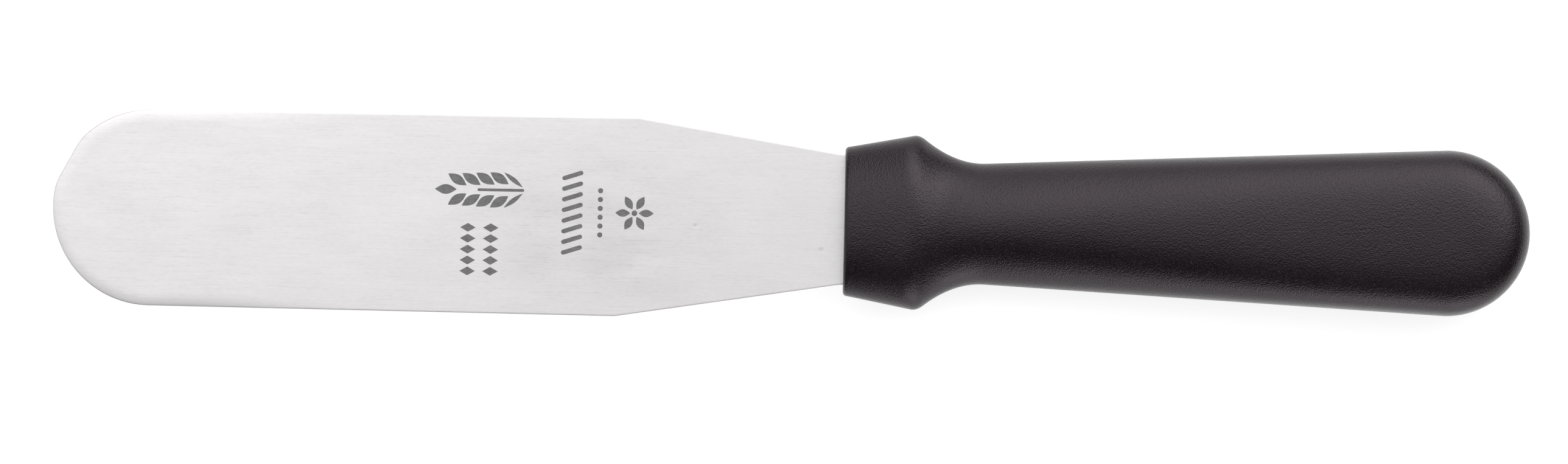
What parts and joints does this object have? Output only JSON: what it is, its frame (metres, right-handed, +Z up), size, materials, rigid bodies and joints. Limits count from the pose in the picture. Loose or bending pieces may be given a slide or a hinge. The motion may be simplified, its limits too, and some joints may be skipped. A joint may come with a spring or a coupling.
{
  "type": "icing spatula",
  "caption": "Straight icing spatula: a flat, flexible steel blade with a full-round tip, tapering into a textured black grip with a flared front block.",
  "frame": {"origin": "centre of the footprint, on the surface that the spatula lies on", "axes": "+X from the tip of the blade to the butt of the grip, along the middle of the tool; +Z up, square to the faces of the blade; +Y across the blade"},
  "size_m": [0.2842, 0.0384, 0.0172],
  "materials": {
    "steel": "fine lengthwise satin grind",
    "black_plastic": "pebbled moulded texture"
  },
  "bodies": {
    "root": {"blade": "steel", "handle": "black_plastic"}
  },
  "joints": []
}
